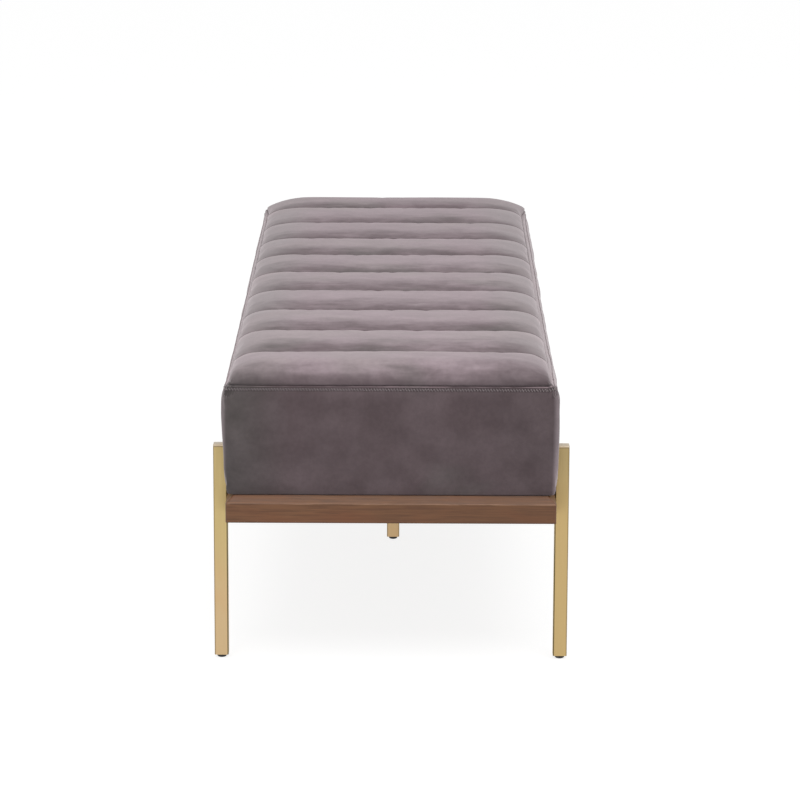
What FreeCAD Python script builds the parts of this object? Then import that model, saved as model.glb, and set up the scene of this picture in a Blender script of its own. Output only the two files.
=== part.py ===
import FreeCAD, Part
import math
import os

# Upholstered bench, long and narrow, built as separate pieces.
# X runs along the length, Y across the width, Z up; the origin is on the floor under the middle.
# Near is +X, far is -X, left is -Y, right is +Y. All sizes are in millimetres.

# Overall sizes
width_over_legs = 508.0
leg_centre_from_rail_end = 67.0
leg_top_height = 316.3

# Legs and their fittings
leg_side = 20.0
leg_wall = 1.5
leg_corner_radius = 2.0
leg_inner_radius = 0.6
leg_cap_thickness = 2.4
leg_cap_edge_radius = 0.7
cap_spigot_depth = 6.0
push_fit_clearance = 0.05
centre_plate_side = 60.0
centre_plate_thickness = 3.0

# Levelling glides
glide_height = 5.0
glide_gap = 0.2
glide_radius = 6.75
glide_foot_radius = 4.6
glide_rim_share = 0.3
glide_bulge_share = 0.78
stem_radius = 4.0
stem_length = 24.0
stem_sunk_share = 0.55
stem_tip_chamfer = 0.8
stem_clearance = 0.05
insert_height = 28.0

# Wood rails
rail_height = 38.0
rail_thickness = 22.0
rail_bottom_height = 217.0
rail_half_length = 728.0
rail_bevel = 10.5
rail_corner_radius = 3.0
corner_block_leg = 34.0
corner_block_height = 28.0
ledger_width = 18.0
ledger_height = 16.0
ledger_end_gap = 128.0
bearer_width = 64.0
bearer_end_gap = 168.0
bearer_count = 5

# Seat board, lining cloth and staples
seat_board_thickness = 15.0
seat_board_inset = 10.0
seat_board_end_clearance = 2.0
cloth_thickness = 1.5
cover_return = 25.0
lining_gap = 0.5
staple_crown = 10.0
staple_wire = 0.8
staple_leg = 6.0
staple_line_inset = 6.0
staples_per_bay_side = 5
staples_per_end = 7

# Cushion
cover_thickness = 2.0
band_height = 160.0
band_corner_radius = 14.0
cushion_bottom_roll = 2.5
cushion_end_setback = 7.5
side_bulge = 5.3
end_bulge = 10.0
leg_recess_clearance = 0.3
channel_count = 10
end_channel_width = 111.5
channel_crown = 7.5
top_shoulder_width = 56.0
top_shoulder_rise = 25.0
end_roll_start_share = 0.46

# Threaded fasteners
bolt_radius = 3.0
bolt_head_radius = 5.0
bolt_head_height = 5.0
bolt_length = 32.0
bolt_spacing = 15.0
hex_key_flat_share = 0.5
hex_key_depth_share = 0.55
bolt_hole_clearance = 0.3
washer_radius = 6.0
washer_thickness = 1.6
nut_across_flats = 10.0
nut_height = 5.0
wood_screw_radius = 2.0
wood_screw_head_radius = 4.0
wood_screw_head_height = 2.6
wood_screw_tip_share = 0.2
block_screw_length = 50.0
block_screw_head_share = 0.5
block_screw_rise_share = 0.16
ledger_screw_length = 34.0
ledger_screw_count = 6
bearer_screw_length = 30.0
seat_screw_length = 36.0
seat_screw_from_middle = 150.0
plate_screw_length = 16.0
plate_screw_inset = 9.0

# Shares and counts used in the shapes
diagonal_share = math.sqrt(0.5)
half_turn = 180.0
quarter_turn = 90.0
hex_sides = 6
overrun = 1.0

# Levels of the side band from bottom to top: height, bottom roll, side bulge and end bulge, as shares.
band_level_shares = (
    (0.0, 1.0, 0.0, 0.0),
    (0.045, 0.25, 0.0, 0.0),
    (0.11, 0.0, 0.0, 0.08),
    (0.38, 0.0, 0.4, 0.54),
    (0.6, 0.0, 0.9, 0.9),
    (0.8, 0.0, 1.0, 1.0),
    (0.9, 0.0, 0.84, 0.98),
    (0.96, 0.0, 0.28, 0.88),
    (1.0, 0.0, -0.85, 0.7),
)
# Stations of the top panel across its shoulder, as shares of the shoulder's width.
# The first two stand on the flat part, so that the shoulder leaves it without a hump.
shoulder_station_shares = (-0.6, -0.25, 0.1, 0.36, 0.6, 0.8, 0.93, 1.0)
shoulder_least_share = 0.13
end_crown_shares = (0.5, 0.75, 1.0)
end_roll_via_shares = (0.6, 0.7)

# Derived places
leg_centre_from_middle = rail_half_length - leg_centre_from_rail_end
ledger_half_length = rail_half_length - ledger_end_gap
bearer_outer_from_middle = rail_half_length - bearer_end_gap
leg_inner_face = width_over_legs / 2 - leg_side
leg_centre_side = width_over_legs / 2 - leg_side / 2
rail_top_height = rail_bottom_height + rail_height
rail_inner_face = leg_inner_face - rail_thickness
end_rail_inner_face = rail_half_length - rail_thickness
board_bottom_height = rail_top_height + cloth_thickness
board_top_height = board_bottom_height + seat_board_thickness
cushion_base_half_width = leg_inner_face - leg_recess_clearance
cushion_base_half_length = rail_half_length - cushion_end_setback
board_half_width = leg_inner_face - seat_board_inset
band_inner_half_length = cushion_base_half_length - cushion_bottom_roll - cover_thickness
board_half_length = band_inner_half_length - seat_board_end_clearance
return_half_width = board_half_width - cover_return
return_half_length = board_half_length - cover_return
band_top_height = rail_top_height + band_height
bearer_height = rail_height - ledger_height
bearer_bottom_height = rail_top_height - bearer_height
ledger_bottom_height = bearer_bottom_height - ledger_height
bearer_step = bearer_outer_from_middle * 2 / (bearer_count - 1)
bearer_places = [bearer_step * i - bearer_outer_from_middle for i in range(bearer_count)]
corner_signs = {
    "near_left": (1, -1),
    "near_right": (1, 1),
    "far_left": (-1, -1),
    "far_right": (-1, 1),
}

os.makedirs("parts", exist_ok=True)


def write(name, shape):
    shape.exportStep("parts/" + name + ".step")


def vector(x, y, z):
    return FreeCAD.Vector(x, y, z)


up = vector(0, 0, 1)
down = vector(0, 0, -1)


def block(x_low, x_high, y_low, y_high, z_low, z_high):
    return Part.makeBox(x_high - x_low, y_high - y_low, z_high - z_low, vector(x_low, y_low, z_low))


def rod(radius, length, start, direction):
    return Part.makeCylinder(radius, length, start, direction)


def rounded_wire(half_x, half_y, radius, height):
    # A rounded rectangle of four lines and four quarter arcs, level at the given height.
    edges = []
    straight_x = half_x - radius
    straight_y = half_y - radius
    corners = ((1, 1), (-1, 1), (-1, -1), (1, -1))
    for index in range(len(corners)):
        sx, sy = corners[index]
        if sx * sy > 0:
            start = vector(sx * half_x, sy * straight_y, height)
            end = vector(sx * straight_x, sy * half_y, height)
        else:
            start = vector(sx * straight_x, sy * half_y, height)
            end = vector(sx * half_x, sy * straight_y, height)
        middle_x = straight_x + radius * diagonal_share
        middle_y = straight_y + radius * diagonal_share
        middle = vector(sx * middle_x, sy * middle_y, height)
        edges.append(Part.Arc(start, middle, end).toShape())
        next_sx, next_sy = corners[(index + 1) % len(corners)]
        if next_sx * next_sy > 0:
            following = vector(next_sx * half_x, next_sy * straight_y, height)
        else:
            following = vector(next_sx * straight_x, next_sy * half_y, height)
        edges.append(Part.LineSegment(end, following).toShape())
    return Part.Wire(edges)


def rounded_prism(half_x, half_y, radius, z_low, z_high):
    face = Part.Face(rounded_wire(half_x, half_y, radius, z_low))
    return face.extrude(up * (z_high - z_low))


def hex_prism(across_flats, length, start, direction):
    # A hexagonal prism along the direction, with its first face centred on the start point.
    radius = across_flats / 2 / math.cos(math.pi / hex_sides)
    points = []
    for i in range(hex_sides + 1):
        angle = math.pi * 2 * i / hex_sides
        points.append(vector(radius * math.cos(angle), radius * math.sin(angle), 0))
    prism = Part.Face(Part.makePolygon(points)).extrude(up * length)
    prism.Placement = FreeCAD.Placement(start, FreeCAD.Rotation(up, direction))
    return prism


def wood_screw(length, start, direction):
    # The start point is the middle of the head's face, flush with the wood; the tip is a cone.
    tip = length * wood_screw_tip_share
    shank = rod(wood_screw_radius, length - tip, start, direction)
    cone_start = start + direction * (length - tip)
    cone = Part.makeCone(wood_screw_radius, 0, tip, cone_start, direction)
    head = rod(wood_screw_head_radius, wood_screw_head_height, start, direction)
    return shank.fuse([cone, head]).removeSplitter()


def cut_by(shape, tools):
    return shape.cut(Part.makeCompound(tools)) if tools else shape


def mirrored(shape, normal):
    return shape.mirror(vector(0, 0, 0), normal)


# Leg bolts, washers and weld nuts
bolt_middle_height = rail_bottom_height + (rail_height - rail_bevel) / 2
bolt_heights = (bolt_middle_height - bolt_spacing / 2, bolt_middle_height + bolt_spacing / 2)
bolts = []
washers = []
nuts = []
bolt_holes = []
for sx, sy in corner_signs.values():
    outward = vector(0, sy, 0)
    for height in bolt_heights:
        seat = vector(sx * leg_centre_from_middle, sy * rail_inner_face, height)
        head_seat = seat - outward * washer_thickness
        shank = rod(bolt_radius, bolt_length, head_seat, outward)
        head = rod(bolt_head_radius, bolt_head_height, head_seat, outward * -1)
        key_depth = bolt_head_height * hex_key_depth_share
        key_start = head_seat - outward * bolt_head_height
        key = hex_prism(bolt_head_radius * 2 * hex_key_flat_share, key_depth, key_start, outward)
        bolts.append(shank.fuse(head).removeSplitter().cut(key))
        washer = rod(washer_radius, washer_thickness, seat, outward * -1)
        washer_bore = rod(bolt_radius + bolt_hole_clearance, washer_thickness, seat, outward * -1)
        washers.append(washer.cut(washer_bore))
        bore_start = vector(seat.x, sy * (rail_inner_face - overrun), height)
        bore_length = rail_thickness + leg_wall + overrun * 2
        bolt_holes.append(rod(bolt_radius + bolt_hole_clearance, bore_length, bore_start, outward))
        nut_seat = vector(seat.x, sy * (leg_inner_face + leg_wall), height)
        nut = hex_prism(nut_across_flats, nut_height, nut_seat, outward)
        nuts.append(nut.cut(rod(bolt_radius + stem_clearance, nut_height, nut_seat, outward)))
write("leg_bolts", Part.makeCompound(bolts))
write("leg_washers", Part.makeCompound(washers))
write("leg_weld_nuts", Part.makeCompound(nuts))

# Wood screws: corner blocks to rails, ledgers to rails, bearers to ledgers, seat board to bearers
block_middle_height = rail_top_height - corner_block_height / 2
block_screws = []
for sx, sy in corner_signs.values():
    reach = corner_block_leg * block_screw_head_share
    head_x = sx * (end_rail_inner_face - reach)
    head_y = sy * (rail_inner_face - reach)
    for level in (-1, 1):
        height = block_middle_height + level * corner_block_height * block_screw_rise_share
        if level > 0:
            direction = vector(sx, 0, 0)
            start = vector(head_x, sy * (rail_inner_face - reach / 2), height)
        else:
            direction = vector(0, sy, 0)
            start = vector(sx * (end_rail_inner_face - reach / 2), head_y, height)
        block_screws.append(wood_screw(block_screw_length - reach, start, direction))
ledger_screws = []
ledger_screw_step = ledger_half_length * 2 / ledger_screw_count
for sy in (-1, 1):
    for i in range(ledger_screw_count):
        x = ledger_screw_step * (i + 1) - ledger_half_length - ledger_screw_step / 2
        start = vector(x, sy * (rail_inner_face - ledger_width), ledger_bottom_height + ledger_height / 2)
        ledger_screws.append(wood_screw(ledger_screw_length, start, vector(0, sy, 0)))
bearer_screws = []
seat_screws = []
for x in bearer_places:
    for sy in (-1, 1):
        start = vector(x, sy * (rail_inner_face - ledger_width / 2), ledger_bottom_height)
        bearer_screws.append(wood_screw(bearer_screw_length, start, up))
        start = vector(x, sy * seat_screw_from_middle, bearer_bottom_height)
        seat_screws.append(wood_screw(seat_screw_length, start, up))
write("corner_block_screws", Part.makeCompound(block_screws))
write("ledger_screws", Part.makeCompound(ledger_screws))
write("bearer_screws", Part.makeCompound(bearer_screws))
write("seat_screws", Part.makeCompound(seat_screws))

# Wood frame: four mitred rails with a bevel along the top outer edge
frame_outer = rounded_prism(
    rail_half_length, leg_inner_face, rail_corner_radius, rail_bottom_height, rail_top_height - rail_bevel
)
bevel_low = rounded_wire(rail_half_length, leg_inner_face, rail_corner_radius, rail_top_height - rail_bevel)
bevel_high = rounded_wire(
    rail_half_length - rail_bevel, leg_inner_face - rail_bevel, rail_corner_radius, rail_top_height
)
bevel_part = Part.makeLoft([bevel_low, bevel_high], True, True)
frame_hollow = block(
    -end_rail_inner_face,
    end_rail_inner_face,
    -rail_inner_face,
    rail_inner_face,
    rail_bottom_height - overrun,
    rail_top_height + overrun,
)
frame_ring = frame_outer.fuse(bevel_part).cut(frame_hollow).removeSplitter()


def mitre_wedge(sign):
    # The plan region of one side rail: between the mitre lines of its two corners.
    low = rail_bottom_height - overrun
    inner = vector(end_rail_inner_face - rail_inner_face, 0, low)
    outer_y = sign * (leg_inner_face + overrun)
    outer_x = rail_half_length + overrun
    points = [
        vector(-inner.x, 0, low),
        inner,
        vector(outer_x, outer_y, low),
        vector(-outer_x, outer_y, low),
        vector(-inner.x, 0, low),
    ]
    return Part.Face(Part.makePolygon(points)).extrude(up * (rail_height + overrun * 2))


left_wedge = mitre_wedge(-1)
right_wedge = mitre_wedge(1)
rail_tools = bolt_holes + block_screws + ledger_screws
write("rail_side_left", cut_by(frame_ring.common(left_wedge), rail_tools))
write("rail_side_right", cut_by(frame_ring.common(right_wedge), rail_tools))
end_rails = frame_ring.cut([left_wedge, right_wedge])
near_half = block(
    0, rail_half_length + overrun, -leg_inner_face, leg_inner_face, 0, rail_top_height + overrun
)
write("rail_end_near", cut_by(end_rails.common(near_half), block_screws))
write("rail_end_far", cut_by(end_rails.common(mirrored(near_half, vector(1, 0, 0))), block_screws))

# Corner blocks, ledgers and bearers
for name, (sx, sy) in corner_signs.items():
    low = rail_top_height - corner_block_height
    corner = vector(sx * end_rail_inner_face, sy * rail_inner_face, low)
    along = vector(sx * (end_rail_inner_face - corner_block_leg), sy * rail_inner_face, low)
    across = vector(sx * end_rail_inner_face, sy * (rail_inner_face - corner_block_leg), low)
    prism = Part.Face(Part.makePolygon([corner, along, across, corner])).extrude(up * corner_block_height)
    write("corner_block_" + name, cut_by(prism, block_screws))
for name, sy in (("left", -1), ("right", 1)):
    edge_low = min(sy * rail_inner_face, sy * (rail_inner_face - ledger_width))
    ledger = block(
        -ledger_half_length,
        ledger_half_length,
        edge_low,
        edge_low + ledger_width,
        ledger_bottom_height,
        bearer_bottom_height,
    )
    write("ledger_" + name, cut_by(ledger, ledger_screws + bearer_screws))

# Centre leg, its plate and screws
plate_low = bearer_bottom_height - centre_plate_thickness
plate_half = centre_plate_side / 2
plate_screws = []
for sx in (-1, 1):
    for sy in (-1, 1):
        reach = plate_half - plate_screw_inset
        plate_screws.append(wood_screw(plate_screw_length, vector(sx * reach, sy * reach, plate_low), up))
write("centre_plate_screws", Part.makeCompound(plate_screws))
plate = block(-plate_half, plate_half, -plate_half, plate_half, plate_low, bearer_bottom_height)
write("leg_centre_plate", cut_by(plate, plate_screws))
bearer_names = ("bearer_far", "bearer_mid_far", "bearer_centre", "bearer_mid_near", "bearer_near")
for name, x in zip(bearer_names, bearer_places):
    bearer = block(
        x - bearer_width / 2,
        x + bearer_width / 2,
        -rail_inner_face,
        rail_inner_face,
        bearer_bottom_height,
        rail_top_height,
    )
    write(name, cut_by(bearer, bearer_screws + seat_screws + plate_screws))

# Hollow legs with caps and bottom inserts
tube_half = leg_side / 2
bore_half = tube_half - leg_wall
plug_half = bore_half - push_fit_clearance


def leg_tube(x, y, z_high):
    outer = rounded_prism(tube_half, tube_half, leg_corner_radius, glide_height, z_high)
    inner = rounded_prism(bore_half, bore_half, leg_inner_radius, glide_height - overrun, z_high + overrun)
    tube = outer.cut(inner)
    tube.translate(vector(x, y, 0))
    return tube


def leg_insert(x, y):
    plug = rounded_prism(plug_half, plug_half, leg_inner_radius, glide_height, glide_height + insert_height)
    bore = rod(stem_radius + stem_clearance, insert_height, vector(0, 0, glide_height), up)
    insert = plug.cut(bore)
    insert.translate(vector(x, y, 0))
    return insert


def glide_pad(x, y):
    # A low black pad: short rim at the top, bulged side, flat foot.
    top = glide_height - glide_gap
    rim = top - top * glide_rim_share
    via_radius = glide_foot_radius + (glide_radius - glide_foot_radius) * glide_bulge_share
    via_height = rim * (1 - glide_bulge_share)
    outline = [
        Part.LineSegment(vector(0, 0, 0), vector(glide_foot_radius, 0, 0)).toShape(),
        Part.Arc(
            vector(glide_foot_radius, 0, 0), vector(via_radius, 0, via_height), vector(glide_radius, 0, rim)
        ).toShape(),
        Part.LineSegment(vector(glide_radius, 0, rim), vector(glide_radius, 0, top)).toShape(),
        Part.LineSegment(vector(glide_radius, 0, top), vector(0, 0, top)).toShape(),
        Part.LineSegment(vector(0, 0, top), vector(0, 0, 0)).toShape(),
    ]
    pad = Part.Face(Part.Wire(outline)).revolve(vector(0, 0, 0), up, half_turn * 2)
    sunk = top * stem_sunk_share
    pad = pad.cut(rod(stem_radius, top, vector(0, 0, top - sunk), up))
    pad.translate(vector(x, y, 0))
    return pad


def glide_stem(x, y):
    top = glide_height - glide_gap
    start = top - top * stem_sunk_share
    straight = stem_length - stem_tip_chamfer
    stem = rod(stem_radius, straight, vector(0, 0, start), up)
    tip_start = vector(0, 0, start + straight)
    tip = Part.makeCone(stem_radius, stem_radius - stem_tip_chamfer, stem_tip_chamfer, tip_start, up)
    stem = stem.fuse(tip)
    stem.translate(vector(x, y, 0))
    return stem


cap_low = leg_top_height - leg_cap_thickness
for name, (sx, sy) in corner_signs.items():
    x = sx * leg_centre_from_middle
    y = sy * leg_centre_side
    write("leg_" + name, cut_by(leg_tube(x, y, cap_low), bolt_holes))
    cap = rounded_prism(tube_half, tube_half, leg_corner_radius, cap_low, leg_top_height)
    top_edges = [edge for edge in cap.Edges if edge.BoundBox.ZMin > leg_top_height - leg_cap_edge_radius]
    cap = cap.makeFillet(leg_cap_edge_radius, top_edges)
    spigot = rounded_prism(plug_half, plug_half, leg_inner_radius, cap_low - cap_spigot_depth, cap_low)
    cap = cap.fuse(spigot)
    cap.translate(vector(x, y, 0))
    write("leg_cap_" + name, cap)
    write("leg_insert_" + name, leg_insert(x, y))
    write("glide_pad_" + name, glide_pad(x, y))
    write("glide_stem_" + name, glide_stem(x, y))
write("leg_centre", leg_tube(0, 0, plate_low))
write("leg_insert_centre", leg_insert(0, 0))
write("glide_pad_centre", glide_pad(0, 0))
write("glide_stem_centre", glide_stem(0, 0))

# Seat board
board = block(
    -board_half_length,
    board_half_length,
    -board_half_width,
    board_half_width,
    board_bottom_height,
    board_top_height,
)
write("seat_board", cut_by(board, seat_screws))

# Side band: a skin of cloth round the foam, turned in under the board


def band_solid(skin):
    wires = []
    for height_share, roll_share, side_share, end_share in band_level_shares:
        inset = cushion_bottom_roll * roll_share + skin
        half_y = cushion_base_half_width + side_bulge * side_share - inset
        half_x = cushion_base_half_length + end_bulge * end_share - inset
        height = rail_top_height + band_height * height_share
        wires.append(rounded_wire(half_x, half_y, band_corner_radius - skin, height))
    return Part.makeLoft(wires, True, False)


big_half = rail_half_length * 2
above_board_bottom = block(
    -big_half, big_half, -big_half, big_half, board_bottom_height, band_top_height + overrun
)
inner_fill = band_solid(cover_thickness).common(above_board_bottom)
return_window = block(
    -return_half_length,
    return_half_length,
    -return_half_width,
    return_half_width,
    rail_top_height - overrun,
    board_bottom_height + overrun,
)
leg_recesses = []
for sx, sy in corner_signs.values():
    reach = tube_half + leg_recess_clearance
    x = sx * leg_centre_from_middle
    y = sy * leg_centre_side
    recess_top = leg_top_height + leg_recess_clearance
    leg_recesses.append(block(x - reach, x + reach, y - reach, y + reach, 0, recess_top))
band = band_solid(0).cut([inner_fill, return_window] + leg_recesses)
write("side_band", band)
write("foam_core", inner_fill.cut([board] + leg_recesses))

# Lining under the board, and the staples that hold the cloth
lining_half_length = return_half_length - lining_gap
lining_half_width = return_half_width - lining_gap
lining = block(
    -lining_half_length,
    lining_half_length,
    -lining_half_width,
    lining_half_width,
    rail_top_height,
    board_bottom_height,
)
write("dust_cover", cut_by(lining, seat_screws))


def staple(x, y, along_x):
    half = staple_crown / 2
    wire_half = staple_wire / 2
    low = rail_top_height - staple_wire
    high = board_bottom_height + staple_leg
    crown = block(-half, half, -wire_half, wire_half, low, rail_top_height)
    first = block(-half, staple_wire - half, -wire_half, wire_half, low, high)
    second = block(half - staple_wire, half, -wire_half, wire_half, low, high)
    shape = crown.fuse([first, second]).removeSplitter()
    if not along_x:
        shape.rotate(vector(0, 0, 0), up, quarter_turn)
    shape.translate(vector(x, y, 0))
    return shape


staples = []
staple_y = return_half_width + staple_line_inset
staple_x = return_half_length + staple_line_inset
bay = bearer_step - bearer_width
for i in range(bearer_count - 1):
    bay_start = bearer_places[i] + bearer_width / 2
    for k in range(staples_per_bay_side):
        x = bay_start + bay * (k + 1) / (staples_per_bay_side + 1)
        staples.append(staple(x, staple_y, True))
        staples.append(staple(x, -staple_y, True))
end_span = (rail_inner_face - corner_block_leg) * 2
for k in range(staples_per_end):
    y = end_span * (k + 1) / (staples_per_end + 1) - end_span / 2
    staples.append(staple(staple_x, y, False))
    staples.append(staple(-staple_x, y, False))
write("staples", Part.makeCompound(staples))

# Top panel: one sewn cover over ten rolls that run across the bench
panel_half_width = cushion_base_half_width + side_bulge * band_level_shares[-1][2]
panel_half_length = cushion_base_half_length + end_bulge * band_level_shares[-1][3]
flat_half_width = panel_half_width - top_shoulder_width
seam_count = channel_count - 1
channel_pitch = (panel_half_length - end_channel_width) * 2 / (seam_count - 1)
seam_places = [channel_pitch * (i - (seam_count - 1) / 2) for i in range(seam_count)]
corner_start = panel_half_width - band_corner_radius


def panel_wire(y, rise_share):
    # The lengthwise outline of the panel at one station across the width.
    past_corner = max(abs(y) - corner_start, 0)
    corner_drop = band_corner_radius - math.sqrt(band_corner_radius**2 - past_corner**2)
    end_x = panel_half_length - corner_drop
    seam_z = band_top_height + top_shoulder_rise * rise_share
    crown = channel_crown * rise_share
    last_seam = seam_places[-1]
    turn_x = last_seam + (panel_half_length - last_seam) * end_roll_start_share
    first_via, first_height, turn_height = end_crown_shares
    via_x = last_seam + (turn_x - last_seam) * first_via
    roll_x = turn_x + (end_x - turn_x) * end_roll_via_shares[0]
    turn_z = seam_z + crown * turn_height
    roll_z = band_top_height + (turn_z - band_top_height) * end_roll_via_shares[1]
    edges = [Part.LineSegment(vector(end_x, y, band_top_height), vector(-end_x, y, band_top_height)).toShape()]
    end_roll = Part.Arc(
        vector(-end_x, y, band_top_height), vector(-roll_x, y, roll_z), vector(-turn_x, y, turn_z)
    )
    edges.append(end_roll.toShape())
    first_roll = Part.Arc(
        vector(-turn_x, y, turn_z),
        vector(-via_x, y, seam_z + crown * first_height),
        vector(-last_seam, y, seam_z),
    )
    edges.append(first_roll.toShape())
    for i in range(seam_count - 1):
        start_x = seam_places[i]
        stop_x = seam_places[i + 1]
        start = vector(start_x, y, seam_z)
        middle = vector((start_x + stop_x) / 2, y, seam_z + crown)
        stop = vector(stop_x, y, seam_z)
        edges.append(Part.Arc(start, middle, stop).toShape())
    last_roll = Part.Arc(
        vector(last_seam, y, seam_z),
        vector(via_x, y, seam_z + crown * first_height),
        vector(turn_x, y, turn_z),
    )
    edges.append(last_roll.toShape())
    far_roll = Part.Arc(
        vector(turn_x, y, turn_z), vector(roll_x, y, roll_z), vector(end_x, y, band_top_height)
    )
    edges.append(far_roll.toShape())
    return Part.Wire(edges)


middle_half_width = flat_half_width + top_shoulder_width * shoulder_station_shares[0]
middle_panel = Part.Face(panel_wire(-middle_half_width, 1)).extrude(vector(0, middle_half_width * 2, 0))
shoulder_wires = []
for share in shoulder_station_shares:
    rise = max(math.sqrt(1 - max(share, 0) ** 2), shoulder_least_share)
    shoulder_wires.append(panel_wire(flat_half_width + top_shoulder_width * share, rise))
right_shoulder = Part.makeLoft(shoulder_wires, True, False)
left_shoulder = mirrored(right_shoulder, vector(0, 1, 0))
write("channel_panel", middle_panel.fuse([left_shoulder, right_shoulder]))
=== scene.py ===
import math

import bpy
import numpy as np
from mathutils import Matrix, Vector
from mathutils.noise import noise as smooth_noise


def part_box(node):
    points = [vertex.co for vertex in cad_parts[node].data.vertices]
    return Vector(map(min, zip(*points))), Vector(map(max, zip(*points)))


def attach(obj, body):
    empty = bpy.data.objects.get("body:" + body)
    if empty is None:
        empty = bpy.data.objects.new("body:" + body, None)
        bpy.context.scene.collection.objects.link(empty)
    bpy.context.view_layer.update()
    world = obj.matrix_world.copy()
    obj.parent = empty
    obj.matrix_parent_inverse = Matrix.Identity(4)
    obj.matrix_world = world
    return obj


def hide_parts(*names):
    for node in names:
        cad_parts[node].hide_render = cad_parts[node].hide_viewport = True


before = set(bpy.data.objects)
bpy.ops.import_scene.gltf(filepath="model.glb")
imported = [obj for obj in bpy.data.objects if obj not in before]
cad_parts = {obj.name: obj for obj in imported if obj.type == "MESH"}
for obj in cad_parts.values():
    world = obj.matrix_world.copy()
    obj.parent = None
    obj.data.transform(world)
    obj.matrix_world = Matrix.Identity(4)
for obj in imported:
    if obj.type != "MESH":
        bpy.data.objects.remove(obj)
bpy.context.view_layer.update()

bl_info = {
    "name": "Channel-tufted bench",
    "version": (1, 0, 0),
    "blender": (4, 5, 0),
    "location": "3D View > Sidebar > Bench",
    "description": "Dresses the packed bench frame with its cushion, finishes and studio",
    "category": "Object",
}

MM = 0.001
BENCH_BODY = "bench"
WHITE = (1, 1, 1, 1)

# Places read from the frame
PANEL_LOW, PANEL_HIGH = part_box("channel_panel")
BAND_LOW, BAND_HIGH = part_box("side_band")
BOARD_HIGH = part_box("seat_board")[1]
LINING_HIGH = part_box("dust_cover")[1]
LEG_LOW, LEG_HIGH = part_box("leg_near_right")
CAP_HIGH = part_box("leg_cap_near_right")[1]
RAIL_LOW, RAIL_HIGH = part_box("rail_side_right")
LEG_X, LEG_Y = (LEG_LOW.x + LEG_HIGH.x) / 2, (LEG_LOW.y + LEG_HIGH.y) / 2
BEVEL_Z = RAIL_HIGH.z - 10.5 * MM

# Channel seams, from the far end to the near end
CHANNEL_PITCH = 154 * MM
SEAMS = CHANNEL_PITCH * np.arange(-4, 5)
LAST_SEAM = SEAMS[-1]
CHANNEL_SEAM_Z = 439.6 * MM
# The sewn edge stands a little above the joint between the two solids.
SEAM_Z = PANEL_LOW.z + 2.4 * MM

# Top panel: shoulders, corners and the drawn-in edge
NEAR_SHOULDER = 50 * MM
FAR_SHOULDER = 95 * MM
END_SHOULDER = 40 * MM
SHOULDER_RISE = CHANNEL_SEAM_Z - SEAM_Z
FLAT_END = PANEL_HIGH.x - END_SHOULDER
NEAR_SOFTNESS = 0.2
FAR_SOFTNESS = 0.12
NEAR_FULLNESS = 2.4
FAR_FULLNESS = 2.85
SEAM_DRAW_IN = 2.5 * MM
PANEL_HALF_WIDTH = PANEL_HIGH.y - SEAM_DRAW_IN
GROOVE_REACH = 1.6 * MM
SEWN_REACH = 2.6 * MM
RIM = 0.6 * MM
TUCK = 1.2 * MM
ROLL_STATIONS = np.array([0, 1.0, 2.2, 4, 7, 12, 20, 32, 47, 62]) * MM
ROW_COUNT = 45
TURN_STEPS = 12
# How far the ends of the last far roll hang out over the edge seam, and where along that roll.
FAR_OVERHANG = 8.0 * MM
OVERHANG_ZONE = (-LAST_SEAM - 38 * MM, -LAST_SEAM - 90 * MM)
# The stuffing lies a little to the left of the frame's middle, most of all under the top panel.
CUSHION_SHIFT = 0.9 * MM
TOP_SHIFT = 2.0 * MM

# Side band: outline, rings and levels
BASE_HALF_WIDTH = 233.7 * MM
BASE_HALF_LENGTH = 720.5 * MM
BAND_CORNER = 14 * MM
BAND_LOW_CORNER = 5.5 * MM
BOTTOM_ROLL = 2.5 * MM
SIDE_BULGE = 5.3 * MM
END_BULGE = 10 * MM
LONG_SIDE_STEPS = 120
SHORT_SIDE_STEPS = 96
CORNER_STEPS = 6
BAND_RING_SHARES = (0.0, 0.012, 0.03, 0.055, 0.085, *np.linspace(0.12, 0.95, 16), 0.972, 0.985, 0.9935)
HELD_LOW_RINGS = 5
HELD_TOP_RINGS = 2
# Each level up the band: height, bottom roll, side bulge and end bulge
BAND_LEVEL_SHARES = np.array([
    (0.0, 1.0, 0.0, 0.0),
    (0.045, 0.25, 0.0, 0.0),
    (0.11, 0.0, 0.0, 0.08),
    (0.38, 0.0, 0.3, 0.54),
    (0.6, 0.0, 0.57, 0.9),
    (0.8, 0.0, 0.65, 1.0),
    (0.9, 0.0, 0.69, 0.98),
    (0.96, 0.0, 0.1, 0.94),
    (1.0, 0.0, -1.4, 0.88),
])
# Towards the far end the band is fuller, and at the far corners it puffs out and up over the seam.
FAR_SWELL = 1.5 * MM
FAR_SWELL_ZONE = (40 * MM, -200 * MM)
FAR_END_ZONE = (-640 * MM, -700 * MM)
FAR_LIP = 5.0 * MM
FAR_LIP_ZONE = (-600 * MM, -680 * MM)
FAR_LIFT = 4.0 * MM
FAR_LIFT_ZONE = (-660 * MM, -700 * MM)
# The near right corner is stuffed a little fuller.
CORNER_FULLNESS = 1.6 * MM
CORNER_FULLNESS_X = 550 * MM
CORNER_FULLNESS_REACH = 60 * MM
# Below its middle the band swells a little round the front of the near legs.
LEG_SWELL = 0.9 * MM
LEG_SWELL_ZONE = (674 * MM, 690 * MM)


# Small helpers for meshes
def mesh_object(name, points, faces, edges=(), smooth=True):
    mesh = bpy.data.meshes.new(name)
    mesh.from_pydata([tuple(p) for p in points], edges, faces)
    mesh.validate()
    mesh.polygons.foreach_set("use_smooth", [smooth] * len(mesh.polygons))
    mesh.update()
    piece = bpy.data.objects.new(name, mesh)
    bpy.context.scene.collection.objects.link(piece)
    return piece


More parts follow.
